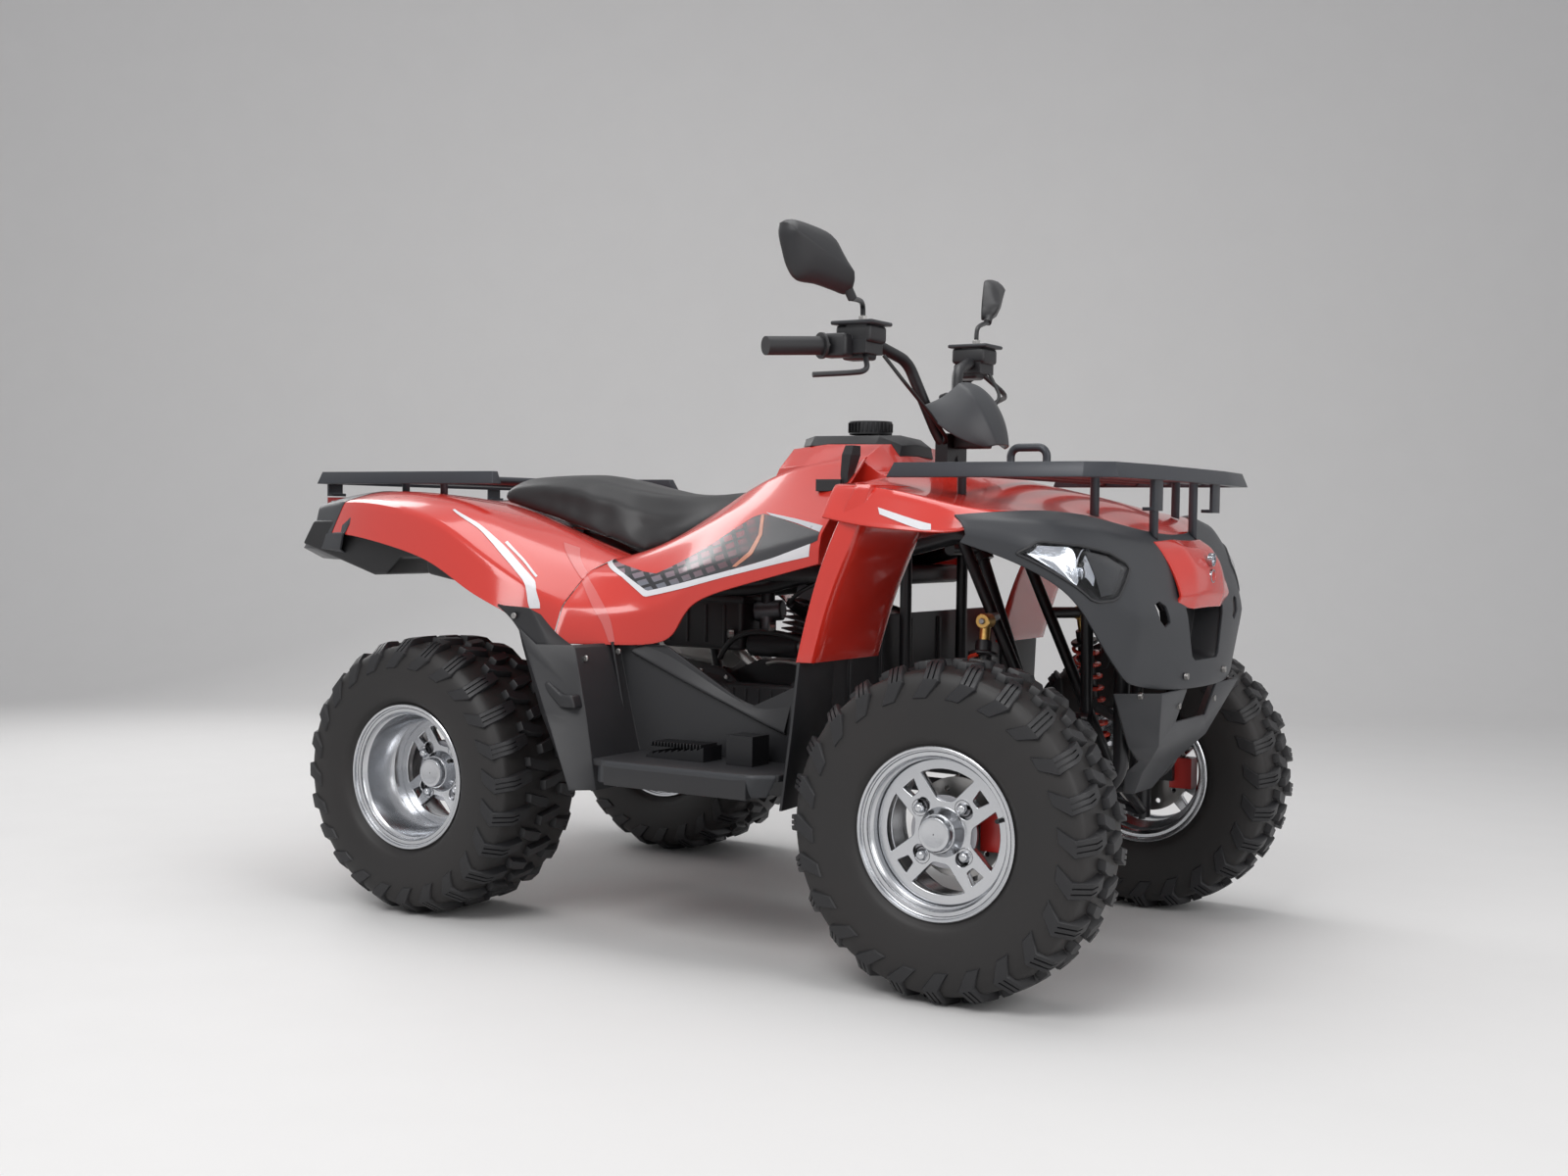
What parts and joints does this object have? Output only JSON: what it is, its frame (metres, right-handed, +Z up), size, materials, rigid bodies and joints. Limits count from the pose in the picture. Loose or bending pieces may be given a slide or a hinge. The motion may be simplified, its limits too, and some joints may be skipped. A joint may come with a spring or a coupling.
{
  "type": "quad bike",
  "caption": "Four-wheeled utility quad bike with straddle seat, handlebar steering, front and rear luggage racks, footwells and alloy wheels.",
  "frame": {"origin": "on the floor, midway between the rear rack and the front tyres, in the middle of the width", "axes": "+X forwards, +Y to the left of the rider, +Z up"},
  "size_m": [1.94, 1.102, 1.324],
  "materials": {
    "red_plastic": "gloss moulded",
    "black_plastic": "fine grained",
    "seat_cover": "smooth vinyl",
    "tyre_rubber": "moulded",
    "wheel_alloy": "polished",
    "frame_paint": "satin black",
    "rack_paint": "satin dark grey",
    "bare_steel": "machined",
    "engine_metal": "cast, painted black",
    "fin_metal": "cast",
    "lamp_lens": "clear moulded lens",
    "tail_lens": "red moulded lens",
    "grip_rubber": "ribbed",
    "caliper_red": "gloss red",
    "spring_red": "gloss red"
  },
  "bodies": {
    "chassis": {"front_fender": "red_plastic", "rear_fender": "red_plastic", "side_panels": "red_plastic", "tank_cover": "red_plastic", "nose_panel": "red_plastic", "front_fascia": "black_plastic", "lower_guard": "black_plastic", "tank_top_panel": "black_plastic", "fuel_cap": "black_plastic", "footwell_left": "black_plastic", "footwell_right": "black_plastic", "footboards": "black_plastic", "seat": "seat_cover", "headlamps": "lamp_lens", "front_rack": "rack_paint", "rear_rack": "rack_paint", "lower_rails": "frame_paint", "upper_rails": "frame_paint", "frame_braces": "frame_paint", "column_bearings": "frame_paint", "crankcase": "engine_metal", "cylinder": "fin_metal", "exhaust": "bare_steel", "suspension_arms": "frame_paint", "front_shocks": "spring_red", "rear_shock": "spring_red", "swingarm": "frame_paint", "drive_chain": "bare_steel", "tow_hitch": "frame_paint", "tail_lamps": "tail_lens", "tail_guards": "black_plastic", "foot_controls": "black_plastic", "shift_lever": "black_plastic", "skid_plate": "black_plastic"},
    "steering": {"steering_column": "frame_paint", "handlebar": "frame_paint", "grips": "grip_rubber", "hand_controls": "black_plastic", "mirrors": "black_plastic", "instrument_pod": "black_plastic", "front_cables": "black_plastic"},
    "rear_axle": {"rear_axle_shaft": "bare_steel", "rear_drive_discs": "bare_steel", "rear_tyres": "tyre_rubber", "rear_rims": "wheel_alloy"},
    "knuckle_left_body": {"knuckle_left": "frame_paint", "brake_caliper_left": "caliper_red"},
    "front_wheel_left": {"front_tyre_left": "tyre_rubber", "front_rim_left": "wheel_alloy", "front_hub_left": "bare_steel"},
    "tie_rod_left_body": {"tie_rod_left": "bare_steel"},
    "knuckle_right_body": {"knuckle_right": "frame_paint", "brake_caliper_right": "caliper_red"},
    "front_wheel_right": {"front_tyre_right": "tyre_rubber", "front_rim_right": "wheel_alloy", "front_hub_right": "bare_steel"},
    "tie_rod_right_body": {"tie_rod_right": "bare_steel"}
  },
  "joints": [
    {"name": "steering_turn", "type": "hinge", "parent": "chassis", "child": "steering", "pos_m": [0.44176, 0, 0.909], "axis": [-0.342, 0, 0.9397], "range_deg": [-30, 30]},
    {"name": "knuckle_left_turn", "type": "hinge", "parent": "chassis", "child": "knuckle_left_body", "pos_m": [0.69, 0.402, 0.28], "axis": [0, 0, 1], "range_deg": [-30, 30]},
    {"name": "tie_rod_left_pivot", "type": "hinge", "parent": "knuckle_left_body", "child": "tie_rod_left_body", "pos_m": [0.61, 0.402, 0.3158], "axis": [0, 0, 1], "range_deg": [-30, 30]},
    {"name": "front_wheel_left_spin", "type": "hinge", "parent": "knuckle_left_body", "child": "front_wheel_left", "pos_m": [0.69, 0.454, 0.28], "axis": [0, 1, 0], "continuous": true},
    {"name": "knuckle_right_turn", "type": "hinge", "parent": "chassis", "child": "knuckle_right_body", "pos_m": [0.69, -0.402, 0.28], "axis": [0, 0, 1], "range_deg": [-30, 30]},
    {"name": "tie_rod_right_pivot", "type": "hinge", "parent": "knuckle_right_body", "child": "tie_rod_right_body", "pos_m": [0.61, -0.402, 0.3158], "axis": [0, 0, 1], "range_deg": [-30, 30]},
    {"name": "front_wheel_right_spin", "type": "hinge", "parent": "knuckle_right_body", "child": "front_wheel_right", "pos_m": [0.69, -0.454, 0.28], "axis": [0, 1, 0], "continuous": true},
    {"name": "rear_axle_spin", "type": "hinge", "parent": "chassis", "child": "rear_axle", "pos_m": [-0.47, 0, 0.272], "axis": [0, 1, 0], "continuous": true}
  ],
  "couplings": [
    {"joint": "knuckle_left_turn", "follows": "steering_turn", "ratio": 1},
    {"joint": "tie_rod_left_pivot", "follows": "steering_turn", "ratio": -1},
    {"joint": "knuckle_right_turn", "follows": "steering_turn", "ratio": 1},
    {"joint": "tie_rod_right_pivot", "follows": "steering_turn", "ratio": -1}
  ]
}
